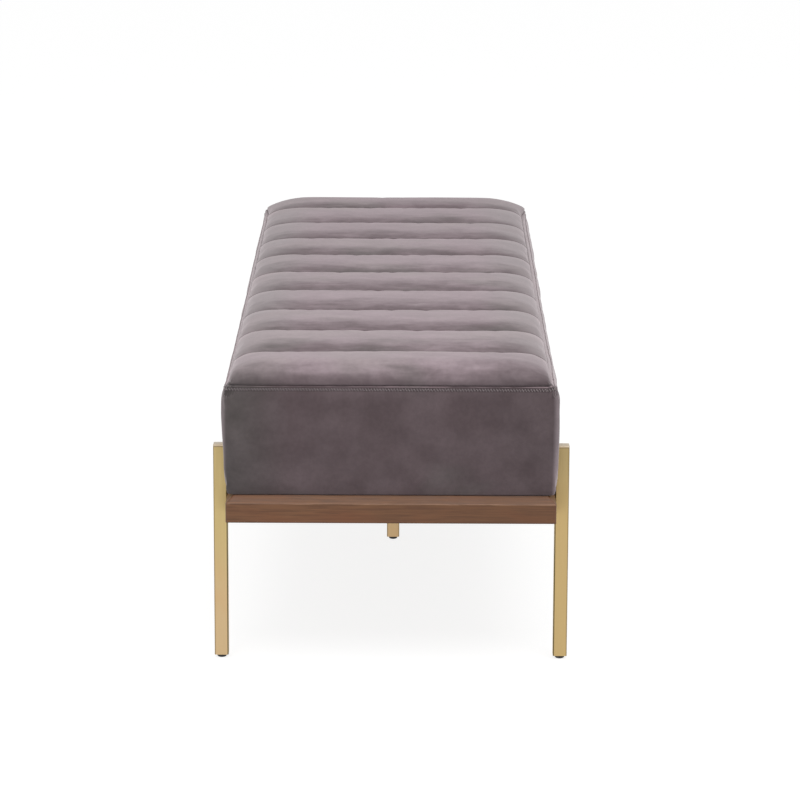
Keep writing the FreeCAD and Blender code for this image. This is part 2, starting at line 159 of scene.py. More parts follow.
def read_vectors(items, key):
    vectors = np.empty(len(items) * 3, np.float32)
    items.foreach_get(key, vectors)
    return vectors.reshape(-1, 3).astype(float)


def set_points(piece, points):
    piece.data.vertices.foreach_set("co", np.asarray(points, np.float32).ravel())
    piece.data.update()


def keep_evaluated(piece):
    # Turns what the modifiers make into the piece's own mesh and removes them.
    depsgraph = bpy.context.evaluated_depsgraph_get()
    made = bpy.data.meshes.new_from_object(piece.evaluated_get(depsgraph))
    piece.modifiers.clear()
    old = piece.data
    piece.data = made
    bpy.data.meshes.remove(old)
    made.name = piece.name


def subdivide(piece):
    modifier = piece.modifiers.new("Rounding", "SUBSURF")
    modifier.levels = 1
    modifier.render_levels = 1
    keep_evaluated(piece)


def store_attribute(piece, name, values, domain="POINT"):
    attribute = piece.data.attributes.new(name, "FLOAT", domain)
    attribute.data.foreach_set("value", np.asarray(values, np.float32))


def keep_sharp(piece, first):
    # Edges between the points from number first on stay sharp when the piece is rounded.
    edges = piece.data.edges
    ends = np.empty(len(edges) * 2, np.int32)
    edges.foreach_get("vertices", ends)
    store_attribute(piece, "crease_edge", ends.reshape(-1, 2).min(axis=1) >= first, "EDGE")


def smooth_curve(places, values, wanted):
    # A cubic through the given points, with slopes from their neighbours.
    slopes = np.gradient(values, places)
    index = np.clip(np.searchsorted(places, wanted) - 1, 0, len(places) - 2)
    step = places[index + 1] - places[index]
    t = (wanted - places[index]) / step
    a = 2 * t**3 - 3 * t**2 + 1
    b = t**3 - 2 * t**2 + t
    return (
        a * values[index] + b * step * slopes[index]
        + (1 - a) * values[index + 1] + (t**3 - t**2) * step * slopes[index + 1]
    )


def smooth_step(low, high, value):
    # 0 at low and 1 at high, which may also lie below low.
    t = np.clip((value - low) / (high - low), 0, 1)
    return t * t * (3 - 2 * t)


def bump_at(value, middle, reach):
    return np.exp(-(((value - middle) / reach) ** 2))


def waves(points, size, seed, height):
    # Smooth noise up to height either way, with the size of its features along X, Y, Z in millimetres.
    offset = Vector((seed * 7.31, seed * 3.17, seed * 11.9))
    places = points / (np.array(size) * MM)
    return height * np.array([smooth_noise(Vector(place) + offset) for place in places])


def inflate(piece, held, pressure, cap, shrink, frames=20):
    # Blows the cloth out between its held points, and keeps each point within cap of its start.
    start = read_vectors(piece.data.vertices, "co")
    group = piece.vertex_groups.new(name="held")
    group.add([int(i) for i in np.flatnonzero(held)], 1.0, "REPLACE")
    cloth = piece.modifiers.new("Stuffing", "CLOTH")
    settings = cloth.settings
    settings.vertex_group_mass = "held"
    settings.quality = 6
    settings.mass = 0.3
    settings.tension_stiffness = 12
    settings.compression_stiffness = 8
    settings.shear_stiffness = 5
    settings.bending_stiffness = 0.6
    settings.use_pressure = True
    settings.uniform_pressure_force = pressure
    settings.shrink_min = shrink
    settings.effector_weights.gravity = 0
    cloth.collision_settings.use_collision = False
    cloth.point_cache.frame_start = 1
    cloth.point_cache.frame_end = frames
    scene = bpy.context.scene
    for number in range(1, frames + 1):
        scene.frame_set(number)
    evaluated = piece.evaluated_get(bpy.context.evaluated_depsgraph_get())
    moved = read_vectors(evaluated.data.vertices, "co") - start
    piece.modifiers.clear()
    piece.vertex_groups.clear()
    scene.frame_set(1)
    distance = np.linalg.norm(moved, axis=1, keepdims=True)
    set_points(piece, start + moved * np.minimum(1, cap / np.maximum(distance, 1e-9)))


# Small helpers for node trees and materials
def wire(tree, value, socket):
    if isinstance(value, bpy.types.NodeSocket):
        tree.links.new(value, socket)
    else:
        socket.default_value = value


def add_node(tree, kind, inputs=None, **settings):
    # Adds a node. Its inputs, by name or number, are given values or other nodes' outputs.
    node = tree.nodes.new(kind)
    for key, value in settings.items():
        setattr(node, key, value)
    for key, value in (inputs or {}).items():
        wire(tree, value, node.inputs[key])
    return node


class Maker:
    """Builds one node material; most methods add nodes and return their output socket."""

    def __init__(self, name):
        self.material = bpy.data.materials.new(name)
        self.material.use_nodes = True
        self.tree = self.material.node_tree
        self.shader = self.tree.nodes["Principled BSDF"]

    def node(self, kind, inputs=None, **settings):
        return add_node(self.tree, kind, inputs, **settings)

    def place(self, stretch=(1, 1, 1)):
        coordinate = self.node("ShaderNodeTexCoord").outputs["Object"]
        return self.node("ShaderNodeMapping", {"Vector": coordinate, "Scale": stretch}).outputs["Vector"]

    def axis(self, name):
        return self.node("ShaderNodeSeparateXYZ", {0: self.place()}).outputs[name]

    def attribute(self, name):
        return self.node("ShaderNodeAttribute", attribute_name=name).outputs["Fac"]

    def noise(self, stretch, scale, detail=2.0, roughness=0.5, distortion=0.0):
        inputs = {"Vector": self.place(stretch), "Scale": scale, "Detail": detail,
                  "Roughness": roughness, "Distortion": distortion}
        return self.node("ShaderNodeTexNoise", inputs).outputs["Fac"]

    def cells(self, scale):
        inputs = {"Vector": self.place(), "Scale": scale}
        return self.node("ShaderNodeTexVoronoi", inputs).outputs["Distance"]

    def bands(self, scale, distortion, axis):
        inputs = {"Vector": self.place(), "Scale": scale, "Distortion": distortion, "Detail": 1.0}
        return self.node("ShaderNodeTexWave", inputs, wave_type="BANDS", bands_direction=axis).outputs["Fac"]

    def spread(self, value, low, high, to_low=0.0, to_high=1.0):
        inputs = {"Value": value, "From Min": low, "From Max": high, "To Min": to_low, "To Max": to_high}
        return self.node("ShaderNodeMapRange", inputs, interpolation_type="SMOOTHSTEP").outputs["Result"]

    def math(self, operation, first, *others):
        # Takes the values in one after another.
        for other in others:
            first = self.node("ShaderNodeMath", {0: first, 1: other}, operation=operation).outputs["Value"]
        return first

    def times(self, *values):
        return self.math("MULTIPLY", *values)

    def plus(self, *values):
        return self.math("ADD", *values)

    def less(self, *values):
        return self.math("SUBTRACT", *values)

    def most(self, *values):
        return self.math("MAXIMUM", *values)

    def off(self, value, middle=0.0):
        # How far a value lies from middle, either way.
        return self.math("ABSOLUTE", self.less(value, middle), 0.0)

    def mix(self, share, first, second, blend="MIX"):
        # first and second are colours: sockets, or three numbers each.
        inputs = {"Factor": share}
        for number, tint in ((6, first), (7, second)):
            inputs[number] = tint if isinstance(tint, bpy.types.NodeSocket) else (*tint, 1.0)
        return self.node("ShaderNodeMix", inputs, data_type="RGBA", blend_type=blend).outputs[2]

    def shade(self, colour, factor):
        # Darkens or lightens a colour by a factor.
        grey = self.node("ShaderNodeCombineColor", {"Red": factor, "Green": factor, "Blue": factor})
        return self.mix(1.0, colour, grey.outputs["Color"], "MULTIPLY")

    def bump(self, height, strength, distance, under=None):
        inputs = {"Height": height, "Strength": strength, "Distance": distance}
        if under is not None:
            inputs["Normal"] = under
        return self.node("ShaderNodeBump", inputs).outputs["Normal"]

    def finish(self, **inputs):
        for name, value in inputs.items():
            wire(self.tree, value, self.shader.inputs[name.replace("_", " ")])
        return self.material


# Velvet
def painted_sheen_share(make):
    # Painted sheen on the pile: 0 where none is painted and 1 where it is full.
    right_face, left_face = (226.0 * MM, 235.5 * MM), (231.0 * MM, 238.0 * MM)
    ahead, across = make.axis("X"), make.axis("Y")
    lengthwise, sideways = make.off(ahead), make.off(across)
    on_rolls = make.attribute("on_rolls")
    # Painted sheen: each roll is light over its crown and grows dark in painted shade towards its near seam;
    # the end rolls are more even.
    drift = make.noise((2.2, 1.0, 1.0), 7.5, 3.0, 0.55)
    smudge = make.noise((2.6, 0.9, 1.5), 26.0, 3.0, 0.62, 0.3)
    streak = make.noise((1.0, 0.12, 1.0), 75.0)
    weights = ((drift, 0.55), (smudge, 0.4), (streak, 0.3))
    uneven = make.plus(*(make.times(make.less(noise, 0.5), weight) for noise, weight in weights))
    uneven = make.times(uneven, make.spread(lengthwise, 610 * MM, 650 * MM, 1.0, 0.9))
    light = make.spread(make.plus(make.attribute("along_roll"), uneven), -0.10, 0.49, 0.125, 1.0)
    far_sides = make.times(make.spread(ahead, -600 * MM, -100 * MM, 0.3, 0.0),
                           make.spread(sideways, 90 * MM, 180 * MM))
    to_side = make.times(make.spread(sideways, 150 * MM, 225 * MM, 0.0, 0.72),
                         make.spread(lengthwise, 660 * MM, 705 * MM, 1.0, 0.0))
    light = make.most(make.plus(light, far_sides), to_side)
    # Painted sheen makes the long sides lighter than the ends, more so on the right.
    face = make.spread(make.noise((1.0, 1.0, 1.1), 17.0, 1.5), 0.3, 0.7, 0.0, 0.11)
    long_sides = make.most(make.spread(across, *right_face),
                           make.spread(make.times(across, -1.0), *left_face, 0.0, 0.5))
    face = make.most(face, make.times(long_sides, make.spread(drift, 0.3, 0.7, 0.7, 1.15)))
    return make.plus(make.times(light, on_rolls), make.times(face, make.less(1.0, on_rolls)))


def velvet_tones(make, settings):
    # Cooler casts lie in patches, most of all towards the sides.
    ahead, across = make.axis("X"), make.axis("Y")
    patches = make.spread(make.noise((0.9, 0.6, 1.0), 8.0, 2.0, 0.55, 0.3), 0.5, 0.66, 0.0, 0.8)
    sides = make.times(make.spread(make.off(across), 120 * MM, 200 * MM, 0.0, 0.75),
                       make.spread(ahead, 600 * MM, 650 * MM, 1.0, 0.3))
    # The light tones are those of the painted sheen.
    light = make.mix(patches, make.mix(sides, settings.nap_sheen, settings.nap_cool), settings.nap_tan)
    left = make.spread(make.times(across, -1.0), 130 * MM, 230 * MM, 0.0, 0.8)
    dark = make.mix(make.most(left, patches), settings.nap_dark, settings.nap_deep)
    return dark, light


def velvet_painted_light_and_marks(make, settings):
    # Factors that lighten or darken the cloth at its seams, edges and ends, most of them painted shade and
    # highlights.
    ahead, across, height = make.axis("X"), make.axis("Y"), make.axis("Z")
    along, on_rolls = make.attribute("along_roll"), make.attribute("on_rolls")
    off_rolls = make.less(1.0, on_rolls)
    over_seam = make.less(height, SEAM_Z)
    up = make.less(height, BAND_LOW.z)
    # A painted highlight along each roll's crest, brightest near its far seam.
    crest = make.plus(make.spread(along, 0.70, 0.84, 0.0, 0.12), make.spread(along, 0.86, 0.93, 0.0, 0.2))
    crest = make.times(crest, on_rolls)
    # A painted highlight runs under the edge seam in a thin broken line.
    lip = make.spread(make.off(over_seam, -2.3 * MM), 0.2 * MM, 0.7 * MM, 1.9, 0.0)
    lip_breaks = make.spread(make.noise((0.3, 0.3, 0.3), 60.0), 0.36, 0.56)
    lip = make.times(lip, lip_breaks, off_rolls)
    # The sewing presses the pile down behind the top stitches, and painted shade darkens the near roll
    # towards its seam, a little more on its right.
    off_stitches = make.off(over_seam, -settings.stitch_drop)
    pressed = make.times(make.spread(off_stitches, 2.1 * MM, 3.0 * MM, 0.32, 0.0), off_rolls)
    low = make.times(make.spread(over_seam, 0.0, 12 * MM, 0.16, 0.0), make.spread(over_seam, -1 * MM, 0.0))
    right_end = make.times(make.spread(across, 90 * MM, 170 * MM, 0.0, 0.09), on_rolls)
    low = make.times(make.plus(low, right_end), make.spread(ahead, 630 * MM, 680 * MM))
    # The end faces are deeper on the right, except low down, and in their low left corner.
    right_face = make.times(make.spread(across, 80 * MM, 190 * MM, 0.0, 0.12),
                            make.spread(up, 20 * MM, 70 * MM, 0.3, 1.0))
    left_corner = make.times(make.spread(make.times(across, -1.0), 130 * MM, 200 * MM, 0.0, 0.17),
                             make.spread(up, 30 * MM, 70 * MM, 1.0, 0.0))
    deeper = make.times(make.most(right_face, left_corner), off_rolls)
    return (
        # Painted shade in the seams' grooves.
        make.spread(make.attribute("seam_line"), 0.1, 0.9, 1.0, 0.42),
        make.plus(1.0, crest, lip),
        make.less(1.0, pressed, low),
        # Painted shade darkens the turned-in bottom edge.
        make.spread(up, 0.6 * MM, 2.6 * MM, 0.62, 1.0),
        make.less(1.0, deeper),
    )


def corner_folds(make):
    # Small folds gather under the edge seam at the four corners, with painted shade and light along them.
    corner = (BASE_HALF_LENGTH + 7 * MM, BASE_HALF_WIDTH, SEAM_Z - 5 * MM)
    mirrored = make.node("ShaderNodeVectorMath", {0: make.place()}, operation="ABSOLUTE")
    ends = {0: mirrored.outputs["Vector"], 1: corner}
    apart = make.node("ShaderNodeVectorMath", ends, operation="DISTANCE").outputs["Value"]
    at_corner = make.spread(apart, 6 * MM, 20 * MM, 1.0, 0.0)
    folds = make.spread(make.noise((1.0, 1.0, 0.45), 280.0, 2.0, 0.5, 0.4), 0.44, 0.56)
    painted_fold_shading = make.plus(1.0, make.times(make.less(0.35, folds), at_corner, 0.55))
    return make.times(folds, at_corner), painted_fold_shading


def velvet_material():
    settings = bpy.context.scene.bench_cushion
    make = Maker("bench_velvet")
    soft = make.noise((1, 1, 1), 130.0, 3.0, 0.6)
    fibres = make.noise((1, 1, 1), 1300.0, 2.0, 0.6)
    broad = make.noise((1.8, 0.8, 1.2), 22.0, 2.0, 0.5, 0.2)
    folds, painted_fold_shading = corner_folds(make)
    uneven = make.times(make.spread(soft, 0.3, 0.7, 0.95, 1.05), make.spread(broad, 0.3, 0.7, 0.94, 1.06))
    # The painted sheen share mixes the tones; painted shade, highlights and other marks then darken or
    # lighten them.
    base = make.mix(painted_sheen_share(make), *velvet_tones(make, settings))
    base = make.shade(base, make.times(uneven, painted_fold_shading, *velvet_painted_light_and_marks(make, settings)))
    ripple = make.bump(soft, 0.2, 0.8 * MM, make.bump(folds, 0.8, 1.8 * MM))
    return make.finish(Base_Color=base, Roughness=0.9, Normal=make.bump(fibres, 0.3, 0.2 * MM, ripple),
                       Specular_IOR_Level=0.15, Sheen_Weight=settings.sheen, Sheen_Roughness=0.4,
                       Sheen_Tint=(0.92, 0.84, 0.86, 1.0))


# Foam, lining and thread
def foam_material():
    make = Maker("bench_foam")
    pits = make.spread(make.cells(700.0), 0.1, 0.6)
    base = make.mix(pits, (0.72, 0.66, 0.45), (0.86, 0.81, 0.62))
    return make.finish(Base_Color=base, Roughness=0.95, Normal=make.bump(pits, 0.4, 0.4 * MM))


def lining_material():
    make = Maker("bench_lining")
    speckle = make.noise((1, 1, 1), 900.0, 3.0, 0.7)
    height = make.plus(speckle, make.cells(420.0))
    base = make.mix(speckle, (0.012, 0.012, 0.014), (0.035, 0.035, 0.04))
    return make.finish(Base_Color=base, Roughness=0.88, Normal=make.bump(height, 0.35, 0.3 * MM))


def thread_material():
    make = Maker("bench_thread")
    twist = make.bands(900.0, 0.3, "DIAGONAL")
    base = make.mix(twist, (0.25, 0.208, 0.212), (0.42, 0.36, 0.37))
    return make.finish(Base_Color=base, Roughness=0.6, Normal=make.bump(twist, 0.3, 0.2 * MM))


# Wood
def grain_stretch(share, along):
    # along is the axis that the grain runs in.
    return tuple(share if axis == along else 1.0 for axis in "XYZ")


def walnut_material(name, along):
    settings = bpy.context.scene.bench_wood
    make = Maker(name)
    streaks = make.noise(grain_stretch(0.045, along), 330.0, 5.0, 0.62, 0.25)
    lines = make.noise(grain_stretch(0.02, along), 950.0, 2.0, 0.6)
    figure = make.noise(grain_stretch(0.13, along), 55.0, 3.0, 0.55, 1.2)
    broad = make.noise(grain_stretch(0.45, along), 17.0, 2.0, 0.5, 0.4)
    base = make.mix(make.spread(streaks, 0.34, 0.66), settings.grain_dark, settings.grain_light)
    base = make.mix(make.spread(broad, 0.45, 0.62, 0.0, 0.7), base, settings.grain_red)
    base = make.mix(make.spread(figure, 0.55, 0.72, 0.0, 0.4), base, settings.grain_dark)
    base = make.mix(make.spread(lines, 0.6, 0.72, 0.0, 0.4), base, settings.pore)
    if along == "Y":
        # The boards of the two end rails run from a paler to a deeper brown.
        deeper = make.spread(make.axis("Y"), -120 * MM, 160 * MM, 0.0, 0.36)
        base = make.mix(deeper, base, settings.grain_dark)
    # Edges: a painted highlight line where the bevel starts, and a darker line along the bottom.
    height = make.axis("Z")
    edge_highlight = make.times(make.spread(make.off(height, BEVEL_Z), 0.4 * MM, 1.4 * MM, 0.45, 0.0),
                        make.spread(streaks, 0.4, 0.6))
    base = make.mix(edge_highlight, base, settings.edge_highlight)
    bottom = make.spread(make.less(height, RAIL_LOW.z), 0.6 * MM, 2.2 * MM, 0.55, 0.0)
    base = make.mix(bottom, base, settings.pore)
    grooves = make.spread(lines, 0.58, 0.72, 0.0, -1.0)
    return make.finish(Base_Color=base, Roughness=make.spread(streaks, 0.3, 0.7, 0.42, 0.56),
                       Normal=make.bump(grooves, 0.3, 0.25 * MM), Specular_IOR_Level=0.4)


def inner_wood_material(name, along):
    make = Maker(name)
    light, dark = (0.56, 0.40, 0.24), (0.42, 0.27, 0.14)
    streaks = make.noise(grain_stretch(0.08, along), 70.0, 4.0, 0.6, 0.3)
    knots = make.noise((1, 1, 1), 11.0, 2.0, 0.5, 0.8)
    base = make.mix(make.spread(streaks, 0.35, 0.65), dark, light)
    base = make.mix(make.spread(knots, 0.55, 0.8, 0.0, 0.35), base, dark)
    return make.finish(Base_Color=base, Roughness=0.72, Normal=make.bump(streaks, 0.2, 0.3 * MM))


def plywood_material():
    make = Maker("bench_plywood")
    face = make.noise((0.1, 1.0, 1.0), 60.0, 3.0, 0.6, 0.4)
    base = make.mix(make.spread(face, 0.35, 0.65), (0.5, 0.34, 0.19), (0.66, 0.49, 0.31))
    plies = make.spread(make.bands(105.0, 0.4, "Z"), 0.45, 0.6, 0.0, 0.4)
    base = make.mix(plies, base, (0.36, 0.22, 0.12))
    return make.finish(Base_Color=base, Roughness=0.7, Normal=make.bump(face, 0.2, 0.3 * MM))


# Metal and plastic
def brushed_finish(make, base, brush, settings, **more):
    rough = make.plus(make.spread(brush, 0.3, 0.7, 0.0, 0.12), settings.roughness)
    return make.finish(Base_Color=base, Roughness=rough, Normal=make.bump(brush, 0.12, 0.1 * MM),
                       Metallic=1.0, **more)


def cap_joint(make, base, settings):
    # A fine dark line where the cap meets the tube.
    joint = make.spread(make.off(make.axis("Z"), LEG_HIGH.z), 0.3 * MM, 0.9 * MM, 0.7, 0.0)
    return make.mix(joint, base, settings.brass_edge)


def brass_material(name, middle_x, middle_y):
    # middle_x and middle_y are the distances of the legs' middles from the bench's middle.
    settings = bpy.context.scene.bench_metal
    make = Maker(name)
    corner_leg = middle_x > 0
    across, height = make.axis("Y"), make.axis("Z")
    brush = make.noise((1.0, 1.0, 0.012), 1500.0, 2.0, 0.6)
    cloud = make.noise((1.0, 1.0, 0.4), 26.0, 2.0, 0.5, 0.4)
    base = make.mix(make.spread(cloud, 0.35, 0.65), settings.brass_warm, settings.brass_pale)
    if corner_leg:
        # Painted reflection and shade, as if lit from the left: the left legs turn yellower from their
        # middle up, the right ones are deeper and darken to the top.
        left = make.mix(make.spread(height, 70 * MM, 210 * MM), base, settings.brass_yellow)
        right = make.mix(0.85, base, settings.brass_gold)
        right = make.mix(make.spread(height, 200 * MM, 310 * MM), right, settings.brass_deep)
        base = make.mix(make.spread(across, -10 * MM, 10 * MM), left, right)
    # Painted reflection and shade: the tube's rounded edges are darker, and those turned to the bench's
    # middle are the darkest.
    off_x = make.off(make.off(make.axis("X")), middle_x)
    off_y = make.off(make.off(across), middle_y)
    edge = make.spread(make.math("MINIMUM", off_x, off_y), 8.0 * MM, 9.2 * MM)
    inner = make.spread(make.less(middle_y, make.off(across)), 7.0 * MM, 8.5 * MM)
    base = make.mix(make.times(edge, 0.75), base, settings.brass_edge)
    base = make.mix(make.times(edge, inner), base, settings.brass_shade)
    if corner_leg:
        base = cap_joint(make, base, settings)
    return brushed_finish(make, base, brush, settings, Anisotropic=0.35)


def cap_material():
    settings = bpy.context.scene.bench_metal
    make = Maker("bench_cap_brass")
    brush = make.noise((1.0, 0.02, 1.0), 1500.0, 2.0, 0.6)
    base = make.mix(make.spread(brush, 0.3, 0.7), settings.cap_tone, settings.brass_pale)
    return brushed_finish(make, cap_joint(make, base, settings), brush, settings)


def zinc_material():
    make = Maker("bench_zinc_steel")
    base = make.mix(make.spread(make.cells(380.0), 0.1, 0.7), (0.5, 0.51, 0.53), (0.66, 0.67, 0.7))
    rough = make.spread(make.noise((1, 1, 1), 240.0), 0.3, 0.7, 0.3, 0.48)
    return make.finish(Base_Color=base, Roughness=rough, Metallic=1.0)


def nylon_material():
    make = Maker("bench_black_nylon")
    grain = make.noise((1, 1, 1), 1800.0, 2.0, 0.6)
    scuffs = make.noise((1.0, 1.0, 2.5), 220.0, 3.0, 0.6, 0.5)
    base = make.mix(make.spread(scuffs, 0.55, 0.8), (0.012, 0.012, 0.013), (0.035, 0.034, 0.034))
    return make.finish(Base_Color=base, Roughness=make.spread(scuffs, 0.3, 0.8, 0.42, 0.6),
                       Normal=make.bump(grain, 0.2, 0.1 * MM))


def parts(*starts):
    # The frame's pieces whose names begin with one of the given words, without their screws.
    return [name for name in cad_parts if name.startswith(starts) and not name.endswith("_screws")]


def paint(names, material):
    for name in names:
        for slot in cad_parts[name].material_slots:
            slot.material = material


# Settings
def length(name, description, default):
    return bpy.props.FloatProperty(name=name, description=description, default=default, unit="LENGTH")


def factor(name, description, default):
    return bpy.props.FloatProperty(name=name, description=description, default=default, subtype="FACTOR",
                                   min=0, max=1)


def angle(name, description, default):
    return bpy.props.FloatProperty(name=name, description=description, default=default, subtype="ANGLE")


def tone(name, description, default):
    return bpy.props.FloatVectorProperty(name=name, description=description, default=default,
                                         subtype="COLOR", size=3)


class CushionSettings(bpy.types.PropertyGroup):
    crown: length("Roll crown", "How far each roll rises above its seams", 7.6 * MM)
    roll_fullness: bpy.props.FloatProperty(
        name="Roll fullness", description="Higher values make each roll flatter on top", default=2.4, min=1)
    roll_steepness: bpy.props.FloatProperty(
        name="Roll steepness", description="Lower values make each roll turn down more steeply at its seams",
        default=0.72, min=0.3, max=1)
    seam_depth: length("Seam depth", "Depth of the sewn groove between rolls", 2.6 * MM)
    stitch_length: length("Stitch length", "Length of one zigzag stitch", 4.5 * MM)
    stitch_drop: length("Stitch drop", "How far the top stitches lie under the edge seam", 6.4 * MM)
    stitch_pitch: length("Stitch pitch", "Step along the seam from one stitch to the next", 2.02 * MM)
    far_crown_share: factor("Far crown", "Rise of the rolls at the far end, as a share of the crown", 0.78)
    # The light tones of the pile are its colour under painted sheen.
    nap_sheen: tone("Nap with painted sheen", "Colour of the pile where sheen is painted", (0.368, 0.293, 0.318))
    nap_cool: tone("Light nap, cooler", "Greyer cast of the light pile at the sides", (0.340, 0.305, 0.310))
    nap_tan: tone("Light nap, tan", "Browner cast in patches of the light pile", (0.362, 0.302, 0.312))
    nap_dark: tone("Nap without sheen", "Colour of the pile where no sheen is painted", (0.110, 0.081, 0.087))
    nap_deep: tone("Dark nap, cooler", "Greyer cast in patches of the dark pile", (0.095, 0.086, 0.083))
    sheen: factor("Sheen", "Strength of the pile's sheen", 0.6)


class WoodSettings(bpy.types.PropertyGroup):
    grain_light: tone("Grain light", "Lighter streaks of the walnut", (0.204, 0.093, 0.043))
    grain_dark: tone("Grain dark", "Darker streaks of the walnut", (0.127, 0.054, 0.024))
    grain_red: tone("Heart red", "Redder areas of the walnut", (0.198, 0.072, 0.031))
    pore: tone("Pores", "Colour of the open pores", (0.062, 0.031, 0.018))
    # Colour of the painted highlight along the bevel's edge.
    edge_highlight: tone("Edge highlight", "Colour of the highlight painted on the bevel's edge", (0.40, 0.24, 0.15))


class MetalSettings(bpy.types.PropertyGroup):
    brass_warm: tone("Brass warm", "Warmer tone of the brushed brass", (0.595, 0.402, 0.21))
    brass_pale: tone("Brass pale", "Paler tone of the brushed brass", (0.595, 0.43, 0.24))
    brass_yellow: tone("Brass yellow", "Yellower tone of the left legs' upper half", (0.56, 0.43, 0.20))
    brass_gold: tone("Brass gold", "Deeper tone of the right legs", (0.53, 0.385, 0.17))
    brass_deep: tone("Brass deep", "Darkest tone, near the top of the right legs", (0.435, 0.33, 0.16))
    brass_edge: tone("Brass edges", "Darker tone of the tube's rounded edges", (0.20, 0.14, 0.07))
    brass_shade: tone("Brass inner edges", "Darkest tone, on the edges turned to the bench's middle",
                      (0.09, 0.075, 0.03))
    cap_tone: tone("Cap", "Paler tone of the leg caps", (0.50, 0.48, 0.42))
    roughness: factor("Brushing", "Roughness of the brushed metal", 0.34)


class StageSettings(bpy.types.PropertyGroup):
    floor_colour: tone("Floor", "Colour of the plain floor", (0.86, 0.86, 0.86))
    floor_glow: factor("Floor glow", "Share of plain white in the floor as the camera sees it", 0.84)
    surround: bpy.props.FloatProperty(
        name="Surround light", description="Level of the even light from all round", default=0.5, min=0)
    key_watts: bpy.props.FloatProperty(
        name="Soft light", description="Power of the large soft light above the near end", unit="POWER",
        default=80.0, min=0)
    lens: bpy.props.FloatProperty(
        name="Lens", description="Focal length of the camera in millimetres", default=157.5, min=1)
    camera_place: bpy.props.FloatVectorProperty(
        name="Camera place", description="Where the camera stands", subtype="TRANSLATION", size=3,
        default=(5.517, 0.0245, 1.481))
    camera_pitch: angle("Camera pitch", "How far the camera looks down", math.radians(12.766))
    camera_yaw: angle("Camera yaw", "How far the camera turns to the bench's left", math.radians(0.146))
    camera_roll: angle("Camera roll", "Tilt of the camera", math.radians(0.20))


# Top panel
def far_share(along):
    # 0 at the near end and 1 at the far end, where the stuffing settled a little flatter.
    return np.clip((LAST_SEAM - along) / (LAST_SEAM * 2), 0, 1)


def near_to_far(near, far, along):
    return near + (far - near) * far_share(along)


def overhang_share(along):
    return smooth_step(*OVERHANG_ZONE, along)


def panel_columns():
    # Stations along the bench: close together at each seam, wide apart on each roll.
    half = []
    for start in SEAMS[len(SEAMS) // 2:-1]:
        half.extend(start + ROLL_STATIONS)
        half.append(start + CHANNEL_PITCH / 2)
        half.extend(start + CHANNEL_PITCH - ROLL_STATIONS[:0:-1])
    half = np.array([*half, *(LAST_SEAM + ROLL_STATIONS), FLAT_END])
    return np.concatenate([-half[:0:-1], half])


def panel_surface(settings):
    # The panel's points, how far each lies from a seam, and which points lie on the rim.
    columns, rows = panel_columns(), np.linspace(-1, 1, ROW_COUNT)
    turns = np.sin(np.linspace(0, math.pi / 2, TURN_STEPS + 1)[1:])
    ends = np.ones(TURN_STEPS)
    # Each station is a flat place plus a share of the shoulder, from 0 to 1.
    x, y = np.meshgrid(np.concatenate([-FLAT_END * ends, columns, FLAT_END * ends]),
                       np.concatenate([-ends, rows, ends]), indexing="ij")
    u, v = np.meshgrid(np.concatenate([-turns[::-1], np.zeros(len(columns)), turns]),
                       np.concatenate([-turns[::-1], np.zeros(len(rows)), turns]), indexing="ij")
    softness = near_to_far(NEAR_SOFTNESS, FAR_SOFTNESS, x)
    px = x + u * (1 - softness + softness * np.sqrt(1 - v**2 / 2)) * END_SHOULDER
    side = near_to_far(NEAR_SHOULDER, FAR_SHOULDER, px)
    py = y * (PANEL_HALF_WIDTH - side) + v * (1 - softness + softness * np.sqrt(1 - u**2 / 2)) * side
    fullness = near_to_far(NEAR_FULLNESS, FAR_FULLNESS, px)
    end_fall = np.sqrt(np.maximum(1 - u**2, 0))
    dome = end_fall * np.maximum(1 - np.abs(v) ** fullness, 0) ** (1 / fullness)
    pz = SEAM_Z + RIM + (SHOULDER_RISE - RIM) * dome
    # The ends of the far roll are plump and hang out a little over the seam.
    plump = (1 - (1 - np.minimum(dome / 0.16, 1)) ** 2) * (1 - smooth_step(0.25, 0.85, dome))
    py = py + np.sign(v) * FAR_OVERHANG * plump * overhang_share(px)
    grid = np.stack([px, py, pz], axis=-1)
    # The rolls rise square to the smooth base. Each is flat on top and turns down steeply into its seams.
    normal = np.cross(np.gradient(grid, axis=0), np.gradient(grid, axis=1))
    normal /= np.maximum(np.linalg.norm(normal, axis=-1, keepdims=True), 1e-12)
    off_seam = np.min(np.abs(px[..., None] - SEAMS), axis=-1)
    half_roll = np.where(np.abs(px) < LAST_SEAM, CHANNEL_PITCH / 2, FLAT_END - LAST_SEAM)
    share = np.clip(off_seam / half_roll, 0, 1)
    profile = np.maximum(1 - (1 - share) ** settings.roll_fullness, 0) ** settings.roll_steepness
    inward = np.maximum(PANEL_HALF_WIDTH - np.abs(py), 0)
    fade = np.minimum(smooth_step(-12 * MM, 70 * MM, inward), 0.1 + 0.9 * end_fall)
    crown = settings.crown * (1 - (1 - settings.far_crown_share) * smooth_step(0, 1, far_share(px)))
    groove = settings.seam_depth * bump_at(off_seam, 0, GROOVE_REACH)
    groove = groove * (1 - 0.5 * smooth_step(0.9, 1.0, np.abs(v)))
    grid = grid + normal * (crown * profile * fade - groove)[..., None]
    return grid, off_seam, (np.abs(u) > 0.999) | (np.abs(v) > 0.999)


